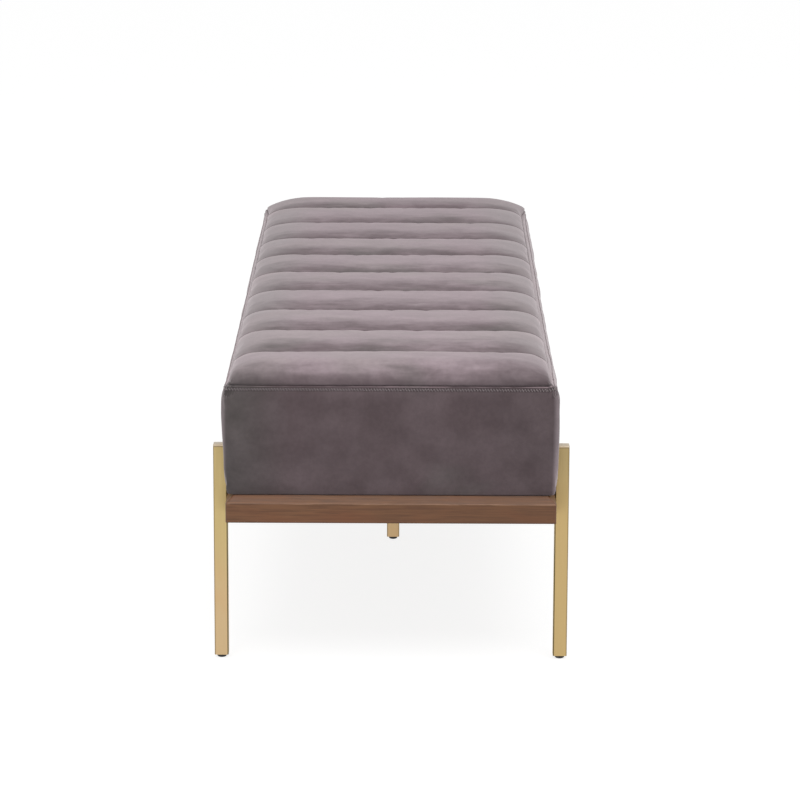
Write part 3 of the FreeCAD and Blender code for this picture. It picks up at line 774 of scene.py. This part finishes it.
def panel_mesh(grid):
    # The rolls' faces, an edge tucked under the rim, then the flat underside.
    count_x, count_y = grid.shape[:2]
    points = grid.reshape(-1, 3)
    base = len(points)
    index = np.arange(base).reshape(count_x, count_y)
    corners = (index[:-1, :-1], index[1:, :-1], index[1:, 1:], index[:-1, 1:])
    faces = np.stack([corner.ravel() for corner in corners], axis=1).tolist()
    ring = np.concatenate([index[:, 0], index[-1, 1:], index[-2::-1, -1], index[0, -2:0:-1]]).tolist()
    rim = points[ring][:, :2]
    tucked = rim - TUCK * np.sign(rim) * (np.abs(rim) > (FLAT_END, PANEL_HALF_WIDTH - NEAR_SHOULDER))
    size = len(ring)
    points = np.vstack([points, np.column_stack([tucked, np.full(size, SEAM_Z)])])
    for n in range(size):
        m = (n + 1) % size
        faces.append((ring[m], ring[n], base + n, base + m))
    right_start = base + count_x - 1 + count_y - 1
    low_left = [base + n for n in range(count_x)]
    low_right = [right_start + n for n in range(count_x)][::-1]
    for n in range(1, count_x - 2):
        faces.append((low_left[n + 1], low_left[n], low_right[n], low_right[n + 1]))
    near_end = [base + count_x - 1 + n for n in range(count_y)]
    faces.append((low_left[-2], low_right[-2], *near_end[::-1]))
    far_end = [right_start + count_x - 1 + n for n in range(count_y - 1)] + [base]
    faces.append((low_right[1], low_left[1], *far_end[::-1]))
    return mesh_object("cushion_rolls", points, faces)


def settle_panel(piece, base):
    # Unevenness of the stuffing, and puckers that run off the seams. Points from number base on stay.
    now, top = read_vectors(piece.data.vertices, "co"), read_vectors(piece.data.vertex_normals, "vector")
    gap = np.min(np.abs(now[:, 0][:, None] - SEAMS), axis=1)
    lumps = waves(now, (75, 120, 90), seed=3, height=0.8 * MM) * smooth_step(0, 30 * MM, gap)
    small = waves(now, (30, 18, 30), seed=5, height=0.35 * MM)
    pucker = small * np.exp(-gap / (9 * MM)) * smooth_step(0.5 * MM, 3 * MM, gap)
    now = now + top * ((lumps + pucker) * (np.arange(len(now)) < base))[:, None]
    # The sides never stand out past the band below them.
    overhang = overhang_share(now[:, 0])
    soft = 4 * MM
    limit = PANEL_HALF_WIDTH + TUCK + FAR_OVERHANG * overhang - soft
    wide = np.abs(now[:, 1])
    over = np.maximum(wide - limit, 0)
    now[:, 1] = np.sign(now[:, 1]) * (np.minimum(wide, limit) + soft * (1 - np.exp(-over / soft)))
    now[:, 1] -= TOP_SHIFT * (1 - overhang)
    set_points(piece, now)
    return now, gap


def roll_share(now):
    # Where a point lies on its roll, from 0 at the seam towards the near end to 1 at the other seam.
    along = now[:, 0]
    edges = np.array([-PANEL_HIGH.x, *SEAMS, PANEL_HIGH.x])
    index = np.clip(np.searchsorted(edges, along, side="right"), 1, len(edges) - 1)
    low, high = edges[index - 1], edges[index]
    share = np.clip((high - along) / (high - low), 0, 1)
    # On the two end rolls the share follows the way down their rounded ends.
    from_edge = np.hypot(PANEL_HIGH.x - np.abs(along), now[:, 2] - SEAM_Z)
    down = np.clip(from_edge / math.hypot(PANEL_HIGH.x - LAST_SEAM, SHOULDER_RISE), 0, 1)
    return np.where(along > LAST_SEAM, down, np.where(along < -LAST_SEAM, 1 - down, share))


def build_panel():
    grid, off_seam, rim = panel_surface(bpy.context.scene.bench_cushion)
    piece = panel_mesh(grid)
    base = off_seam.size
    # The seams, the rim and the underside stay where they are.
    held = np.ones(len(piece.data.vertices), bool)
    held[:base] = ((off_seam < SEWN_REACH) | rim).ravel()
    inflate(piece, held, pressure=3.0, cap=1.6 * MM, shrink=-0.006)
    now, gap = settle_panel(piece, base)
    store_attribute(piece, "along_roll", roll_share(now))
    # Where painted shade darkens the seams' grooves.
    store_attribute(piece, "seam_line", bump_at(gap, 0, 1.7 * MM))
    store_attribute(piece, "on_rolls", np.ones(len(now)))
    keep_sharp(piece, base)
    subdivide(piece)
    return piece


# Side band and foam
def band_profile(height_share):
    heights, rolls, sides, ends = BAND_LEVEL_SHARES.T
    roll = np.interp(height_share, heights, rolls) * BOTTOM_ROLL
    side = smooth_curve(heights, sides, height_share) * SIDE_BULGE
    end = smooth_curve(heights, ends, height_share) * END_BULGE
    return BASE_HALF_LENGTH + end - roll, BASE_HALF_WIDTH + side - roll


def outline(half_x, half_y, radius):
    # A rounded rectangle: each corner's arc, then the straight side that follows it.
    quarter_turn = math.pi / 2
    arcs = []
    for quarter, (sign_x, sign_y) in enumerate(((1, 1), (-1, 1), (-1, -1), (1, -1))):
        turn = (quarter + np.arange(CORNER_STEPS + 1) / CORNER_STEPS) * quarter_turn
        middle = np.array((sign_x * (half_x - radius), sign_y * (half_y - radius)))
        arcs.append(middle + radius * np.column_stack([np.cos(turn), np.sin(turn)]))
    points = []
    for quarter, arc in enumerate(arcs):
        steps = SHORT_SIDE_STEPS if quarter % 2 else LONG_SIDE_STEPS
        share = (np.arange(1, steps) / steps)[:, None]
        points += [arc, arc[-1] + (arcs[(quarter + 1) % 4][0] - arc[-1]) * share]
    return np.vstack(points)


def stack(rings):
    # The points of outlines stacked from the bottom up, and the faces between them.
    count = len(rings[0][0])
    points = np.vstack([np.column_stack([ring, np.full(count, z)]) for ring, z in rings])
    faces = []
    for low in range(0, len(points) - count, count):
        for n in range(count):
            m = (n + 1) % count
            faces.append((low + n, low + m, low + count + m, low + count + n))
    return points, faces, count


def band_rings(height):
    flange, seam_tuck = 16 * MM, 0.8 * MM
    inner_x, inner_y = LINING_HIGH.x + 0.5 * MM, LINING_HIGH.y + 0.5 * MM
    rings = [(outline(inner_x, inner_y, 4 * MM), BAND_LOW.z),
             (outline(inner_x + flange, inner_y + flange, 8 * MM), BAND_LOW.z)]
    for share in BAND_RING_SHARES:
        corner = BAND_LOW_CORNER + (BAND_CORNER - BAND_LOW_CORNER) * smooth_step(0, 0.4, share)
        rings.append((outline(*band_profile(share), corner), BAND_LOW.z + height * share))
    half_x, half_y = band_profile(1.0)
    rings.append((outline(half_x - seam_tuck, half_y - seam_tuck, BAND_CORNER - seam_tuck), SEAM_Z))
    return rings


def settle_band(now, out, height):
    # Lumps on the faces, puckers at the top corners and gathers along the edge seam.
    z_share = (now[:, 2] - BAND_LOW.z) / height
    loose = smooth_step(0.06, 0.2, z_share) * (1 - smooth_step(0.9, 0.985, z_share))
    lumps = waves(now, (110, 110, 70), seed=11, height=1.0 * MM) * loose
    off_corner = np.hypot(np.abs(now[:, 0]) - BASE_HALF_LENGTH, np.abs(now[:, 1]) - BASE_HALF_WIDTH)
    top_zone = smooth_step(0.62, 0.8, z_share) * (1 - smooth_step(0.96, 0.99, z_share))
    at_corner = bump_at(off_corner, 0, 26 * MM) * top_zone
    puckers = waves(now, (11, 11, 45), seed=17, height=3.4 * MM) * at_corner
    edge = np.exp(-((1 - z_share) * height / (9 * MM))) * (1 - smooth_step(0.98, 0.995, z_share))
    gathers = waves(now, (22, 22, 50), seed=23, height=0.45 * MM) * edge
    now = now + out * (lumps + puckers + gathers)[:, None]
    x, side = now[:, 0], np.sign(now[:, 1])
    on_side = np.abs(now[:, 1]) > BASE_HALF_WIDTH - BAND_CORNER
    # The stuffing leans to the left and is fuller towards the far end.
    body = smooth_step(0.1, 0.6, z_share) * (1 - smooth_step(*FAR_END_ZONE, x))
    now[:, 1] += side * FAR_SWELL * smooth_step(*FAR_SWELL_ZONE, x) * body * on_side
    now[:, 1] -= CUSHION_SHIFT * body
    now[:, 1] -= (TOP_SHIFT - CUSHION_SHIFT) * smooth_step(0.88, 1, z_share)
    near_right = bump_at(x, CORNER_FULLNESS_X, CORNER_FULLNESS_REACH) * on_side * (side > 0)
    now[:, 1] += CORNER_FULLNESS * near_right * smooth_step(0.7, 0.88, z_share)
    puff = bump_at(z_share, 0.985, 0.018) * (z_share < 0.995) * on_side
    now[:, 1] += side * FAR_LIP * puff * smooth_step(*FAR_LIP_ZONE, x)
    now[:, 2] += FAR_LIFT * puff * smooth_step(*FAR_LIFT_ZONE, x)
    round_leg = smooth_step(*LEG_SWELL_ZONE, x) * smooth_step(0.02, 0.05, z_share)
    now[:, 1] += side * LEG_SWELL * round_leg * smooth_step(0.35, 0.2, z_share) * on_side
    # The legs press into the band a little, and it swells out again away from them.
    half_leg, room, press, swell = 10.3 * MM, 0.3 * MM, 0.05 * MM, 0.22
    beside = np.maximum(np.abs(np.abs(x) - LEG_X) - half_leg, 0)
    above = np.maximum(now[:, 2] - CAP_HIGH.z - room, 0)
    limit = BASE_HALF_WIDTH - press + swell * np.hypot(beside, above)
    now[:, 1] = np.sign(now[:, 1]) * np.minimum(np.abs(now[:, 1]), limit)
    return now, z_share


def build_band():
    height = SEAM_Z - BAND_LOW.z
    rings = band_rings(height)
    points, faces, count = stack(rings)
    piece = mesh_object("cushion_band", points, faces)
    # The turned-in bottom and the sewn top edge stay where they are.
    row = np.repeat(np.arange(len(rings)), count)
    held = (row < HELD_LOW_RINGS) | (row >= len(rings) - HELD_TOP_RINGS)
    inflate(piece, held, pressure=2.2, cap=2.0 * MM, shrink=-0.012)
    blown, out = read_vectors(piece.data.vertices, "co"), read_vectors(piece.data.vertex_normals, "vector")
    now, z_share = settle_band(blown, out, height)
    set_points(piece, now)
    # Towards the edge seam the band takes the rolls' painted sheen and highlight.
    store_attribute(piece, "along_roll", 0.7 + 0.26 * smooth_step(0.86, 0.95, z_share))
    store_attribute(piece, "seam_line", np.zeros(len(now)))
    # On the long sides sheen is painted on the pile just under the seam, as on the rolls.
    long_side = smooth_step(0, 6 * MM, BASE_HALF_LENGTH - 4 * MM - np.abs(now[:, 0]))
    drift = waves(now, (60, 60, 30), seed=29, height=0.05)
    store_attribute(piece, "on_rolls", smooth_step(0.7, 0.84, z_share + drift) * long_side)
    subdivide(piece)
    skin = piece.modifiers.new("Cloth thickness", "SOLIDIFY")
    skin.thickness = 1.4 * MM
    skin.offset = -1
    skin.use_even_offset = False
    keep_evaluated(piece)
    return piece, now.reshape(len(rings), count, 3)


def build_foam():
    inset = 3.0 * MM
    height = BAND_HIGH.z - BAND_LOW.z
    rings = []
    for z in np.linspace(BOARD_HIGH.z + 0.1 * MM, SEAM_Z - 0.3 * MM, 9):
        half_x, half_y = band_profile((z - BAND_LOW.z) / height)
        rings.append((outline(half_x - inset, half_y - inset, BAND_CORNER - inset), z))
    points, faces, count = stack(rings)
    faces.append(tuple(range(count))[::-1])
    faces.append(tuple(range(len(points) - count, len(points))))
    return mesh_object("cushion_foam", points, faces)


# Top stitches
def stitch_inputs(tree):
    face = tree.interface
    sizes = {"Stitch length": 3 * MM, "Stitch pitch": 2.4 * MM, "Thread radius": 0.4 * MM}
    face.new_socket("Geometry", in_out="INPUT", socket_type="NodeSocketGeometry")
    for name, default in sizes.items():
        face.new_socket(name, in_out="INPUT", socket_type="NodeSocketFloat").default_value = default
    face.new_socket("Thread", in_out="INPUT", socket_type="NodeSocketMaterial")
    face.new_socket("Geometry", in_out="OUTPUT", socket_type="NodeSocketGeometry")


def stitch_tree():
    tree = bpy.data.node_groups.new("Bench top stitches", "GeometryNodeTree")
    stitch_inputs(tree)

    def add(kind, inputs=None, **settings):
        return add_node(tree, kind, inputs, **settings).outputs

    def thinned(share):
        # A scale across the thread alone.
        return add("ShaderNodeCombineXYZ", {"X": share, "Y": share, "Z": 1.0})[0]

    given = add("NodeGroupInput")
    line = add("GeometryNodeMeshToCurve", {"Mesh": given["Geometry"]})["Curve"]
    steps = {"Curve": line, "Length": given["Stitch pitch"]}
    spaced = add("GeometryNodeResampleCurve", steps, mode="LENGTH")["Curve"]
    # Every second stitch leans the other way, which makes the zigzag, and each strays a little.
    odd = add("ShaderNodeMath", {0: add("GeometryNodeInputIndex")[0], 1: 2}, operation="MODULO")[0]
    lean = add("ShaderNodeMapRange", {"Value": odd, "To Min": -2.0, "To Max": 2.0})[0]
    upward = add("ShaderNodeCombineXYZ", {"Z": lean})[0]
    ahead = add("GeometryNodeInputTangent")[0]
    slant = add("ShaderNodeVectorMath", {0: ahead, 1: upward}, operation="ADD")[0]
    stray = {"Min": (-0.05, -0.05, -0.06), "Max": (0.05, 0.05, 0.06), "Seed": 4}
    jitter = add("FunctionNodeRandomValue", stray, data_type="FLOAT_VECTOR")["Value"]
    sway = add("ShaderNodeVectorMath", {0: slant, 1: jitter}, operation="ADD")[0]
    turn = add("FunctionNodeAlignRotationToVector", {"Vector": sway}, axis="Z")["Rotation"]
    sizes = {"Radius": given["Thread radius"], "Depth": given["Stitch length"]}
    shape = add("GeometryNodeMeshCylinder", {"Vertices": 8, "Side Segments": 3, **sizes})["Mesh"]
    # Each stitch narrows to its ends, where it dips into the cloth.
    place = add("GeometryNodeInputPosition")[0]
    height = add("ShaderNodeSeparateXYZ", {0: place})["Z"]
    far = add("ShaderNodeMath", {0: height}, operation="ABSOLUTE")[0]
    share = add("ShaderNodeMath", {0: far, 1: given["Stitch length"]}, operation="DIVIDE")[0]
    narrow = add("ShaderNodeMapRange", {"Value": share, "From Min": 0.15, "From Max": 0.5,
                                        "To Min": 1.0, "To Max": 0.8})[0]
    drawn_in = add("ShaderNodeVectorMath", {0: place, 1: thinned(narrow)}, operation="MULTIPLY")[0]
    tapered = add("GeometryNodeSetPosition", {"Geometry": shape, "Position": drawn_in})[0]
    # The thread of every second stitch is pulled deeper and shows thinner.
    thin = add("ShaderNodeMapRange", {"Value": odd, "To Min": 1.0, "To Max": 0.4})[0]
    copies = add("GeometryNodeInstanceOnPoints", {"Points": spaced, "Instance": tapered,
                                                  "Rotation": turn, "Scale": thinned(thin)})[0]
    real = add("GeometryNodeRealizeInstances", {"Geometry": copies})[0]
    painted = add("GeometryNodeSetMaterial", {"Geometry": real, "Material": given["Thread"]})[0]
    add("NodeGroupOutput", {"Geometry": painted})
    return tree


def stitch_line(rings, drop):
    # Follows the band's own surface, drop under the edge seam, and stands a little off the cloth.
    low_ring, high_ring = rings[-5], rings[-4]
    share = (SEAM_Z - drop - low_ring[:, 2]) / (high_ring[:, 2] - low_ring[:, 2])
    loop = low_ring + (high_ring - low_ring) * share[:, None]
    ahead = np.roll(loop, -1, axis=0) - np.roll(loop, 1, axis=0)
    outward = np.stack([ahead[:, 1], -ahead[:, 0], 0 * ahead[:, 2]], axis=1)
    return loop + outward / np.linalg.norm(outward, axis=1, keepdims=True) * 0.35 * MM


def build_stitches(name, loop):
    settings = bpy.context.scene.bench_cushion
    count = len(loop)
    piece = mesh_object(name, loop, [], edges=[(i, (i + 1) % count) for i in range(count)])
    tree = stitch_tree()
    modifier = piece.modifiers.new("Stitches", "NODES")
    modifier.node_group = tree
    values = {
        "Stitch length": settings.stitch_length,
        "Stitch pitch": settings.stitch_pitch,
        "Thread radius": 0.42 * MM,
        "Thread": thread_material(),
    }
    for item in tree.interface.items_tree:
        if item.in_out == "INPUT" and item.name in values:
            modifier[item.identifier] = values[item.name]
    keep_evaluated(piece)
    piece.data.polygons.foreach_set("use_smooth", [True] * len(piece.data.polygons))
    return piece


# Stage
def seen_share(tree):
    # 1 for rays from the camera and from glossy surfaces, and 0 for the others.
    path = add_node(tree, "ShaderNodeLightPath").outputs
    rays = {0: path["Is Camera Ray"], 1: path["Is Glossy Ray"]}
    return add_node(tree, "ShaderNodeMath", rays, operation="MAXIMUM").outputs["Value"]


def build_floor(settings):
    half = 60.0
    floor = mesh_object("floor", [(-half, -half, 0), (half, -half, 0), (half, half, 0), (-half, half, 0)],
                        [(0, 1, 2, 3)], smooth=False)
    make = Maker("stage_floor")
    seen = seen_share(make.tree)
    # Seen straight on, the floor is mostly plain white, and keeps a faint shadow of the bench.
    shade = make.mix(seen, settings.floor_colour, (0.3, 0.3, 0.3))
    make.finish(Base_Color=shade, Roughness=0.9, Specular_IOR_Level=0.0)
    strength = make.times(seen, settings.floor_glow)
    glow = make.node("ShaderNodeEmission", {"Color": WHITE, "Strength": strength}).outputs["Emission"]
    both = make.node("ShaderNodeAddShader", {0: make.shader.outputs["BSDF"], 1: glow}).outputs["Shader"]
    wire(make.tree, both, make.tree.nodes["Material Output"].inputs["Surface"])
    floor.data.materials.append(make.material)
    return floor


def build_world(settings):
    world = bpy.data.worlds.new("bench_world")
    world.use_nodes = True
    tree = world.node_tree
    levels = {"Value": seen_share(tree), "To Min": settings.surround, "To Max": 1.0}
    background = tree.nodes["Background"]
    wire(tree, add_node(tree, "ShaderNodeMapRange", levels).outputs["Result"], background.inputs["Strength"])
    wire(tree, WHITE, background.inputs["Color"])
    return world


def hang_lamp(settings):
    lamp = bpy.data.lights.new("overhead", "AREA")
    lamp.shape = "RECTANGLE"
    lamp.size, lamp.size_y = 3.4, 2.8
    lamp.energy = settings.key_watts
    holder = bpy.data.objects.new("overhead", lamp)
    holder.location = (1.9, 0.2, 3.5)
    aim = Vector((0.1, 0, 0.35)) - holder.location
    holder.rotation_euler = aim.to_track_quat("-Z", "Y").to_euler()
    bpy.context.scene.collection.objects.link(holder)


def place_camera(settings):
    camera = bpy.data.cameras.new("photo_camera")
    camera.sensor_width = 36
    camera.lens = settings.lens
    camera.clip_start, camera.clip_end = 0.1, 200
    holder = bpy.data.objects.new("photo_camera", camera)
    pitch, yaw, roll = settings.camera_pitch, settings.camera_yaw, settings.camera_roll
    ahead = Vector((-math.cos(pitch) * math.cos(yaw), -math.cos(pitch) * math.sin(yaw), -math.sin(pitch)))
    right = ahead.cross(Vector((0, 0, 1))).normalized()
    above = right.cross(ahead)
    right, above = (right * math.cos(roll) + above * math.sin(roll),
                    above * math.cos(roll) - right * math.sin(roll))
    turned = Matrix((right, above, -ahead)).transposed().to_4x4()
    holder.matrix_world = Matrix.Translation(settings.camera_place) @ turned
    bpy.context.scene.collection.objects.link(holder)
    bpy.context.scene.camera = holder


# Operators
class BENCH_OT_cushion_rolls(bpy.types.Operator):
    """Makes the top panel of the cushion, sewn in ten rolls"""

    bl_idname = "bench.cushion_rolls"
    bl_label = "Cushion rolls"

    def execute(self, context):
        piece = build_panel()
        piece.data.materials.append(velvet_material())
        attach(piece, BENCH_BODY)
        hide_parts("channel_panel")
        return {"FINISHED"}


class BENCH_OT_cushion_band(bpy.types.Operator):
    """Makes the band of cloth round the cushion, its foam and its row of top stitches"""

    bl_idname = "bench.cushion_band"
    bl_label = "Cushion band"

    def execute(self, context):
        piece, rings = build_band()
        piece.data.materials.append(bpy.data.materials["bench_velvet"])
        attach(piece, BENCH_BODY)
        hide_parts("side_band")
        foam = build_foam()
        foam.data.materials.append(foam_material())
        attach(foam, BENCH_BODY)
        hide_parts("foam_core")
        loop = stitch_line(rings, context.scene.bench_cushion.stitch_drop)
        stitches = build_stitches("top_stitches", loop)
        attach(stitches, BENCH_BODY)
        return {"FINISHED"}


class BENCH_OT_wood_frame(bpy.types.Operator):
    """Finishes the walnut rails, the hidden wood and the lining"""

    bl_idname = "bench.wood_frame"
    bl_label = "Wood frame"

    def execute(self, context):
        paint(parts("rail_side_"), walnut_material("bench_walnut_lengthwise", "X"))
        paint(parts("rail_end_"), walnut_material("bench_walnut_crosswise", "Y"))
        paint(parts("bearer_"), inner_wood_material("bench_bearer_wood", "Y"))
        paint(parts("ledger_"), inner_wood_material("bench_ledger_wood", "X"))
        paint(parts("corner_block_"), inner_wood_material("bench_block_wood", "Z"))
        paint(("seat_board",), plywood_material())
        paint(("dust_cover",), lining_material())
        return {"FINISHED"}


class BENCH_OT_legs(bpy.types.Operator):
    """Finishes the brushed legs, their caps, the fasteners and the glides"""

    bl_idname = "bench.legs"
    bl_label = "Legs and hardware"

    def execute(self, context):
        fasteners = [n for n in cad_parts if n.endswith(("_screws", "_bolts", "_washers", "_nuts"))]
        fasteners += parts("staples", "glide_stem_", "leg_centre_plate")
        paint(parts("leg_near_", "leg_far_"), brass_material("bench_brushed_brass", LEG_X, LEG_Y))
        paint(("leg_centre",), brass_material("bench_centre_brass", 0.0, 0.0))
        paint(parts("leg_cap_"), cap_material())
        paint(fasteners, zinc_material())
        paint(parts("glide_pad_", "leg_insert_"), nylon_material())
        return {"FINISHED"}


class BENCH_OT_stage(bpy.types.Operator):
    """Makes the pale floor, the soft light and the camera"""

    bl_idname = "bench.stage"
    bl_label = "Stage"

    def execute(self, context):
        settings = context.scene.bench_stage
        floor = build_floor(settings)
        context.scene.world = build_world(settings)
        hang_lamp(settings)
        place_camera(settings)
        context.scene.view_settings.view_transform = "Standard"
        return {"FINISHED"}


class BENCH_PT_panel(bpy.types.Panel):
    """Lists the bench's settings and its steps"""

    bl_idname = "BENCH_PT_panel"
    bl_label = "Bench"
    bl_space_type = "VIEW_3D"
    bl_region_type = "UI"
    bl_category = "Bench"

    def draw(self, context):
        for group in SETTINGS:
            settings = getattr(context.scene, group)
            for name in settings.__annotations__:
                self.layout.prop(settings, name)
        for operator in OPERATORS:
            self.layout.operator(operator.bl_idname)


SETTINGS = {
    "bench_cushion": CushionSettings,
    "bench_wood": WoodSettings,
    "bench_metal": MetalSettings,
    "bench_stage": StageSettings,
}
OPERATORS = (
    BENCH_OT_stage,
    BENCH_OT_cushion_rolls,
    BENCH_OT_cushion_band,
    BENCH_OT_wood_frame,
    BENCH_OT_legs,
)


def register():
    for kind in (*SETTINGS.values(), *OPERATORS, BENCH_PT_panel):
        bpy.utils.register_class(kind)
    for name, kind in SETTINGS.items():
        setattr(bpy.types.Scene, name, bpy.props.PointerProperty(type=kind))


def unregister():
    for name in SETTINGS:
        delattr(bpy.types.Scene, name)
    for kind in (BENCH_PT_panel, *reversed(OPERATORS), *SETTINGS.values()):
        bpy.utils.unregister_class(kind)


def main():
    register()
    bpy.ops.bench.stage()
    bpy.ops.bench.cushion_rolls()
    bpy.ops.bench.cushion_band()
    bpy.ops.bench.wood_frame()
    bpy.ops.bench.legs()


if __name__ == "__main__":
    main()
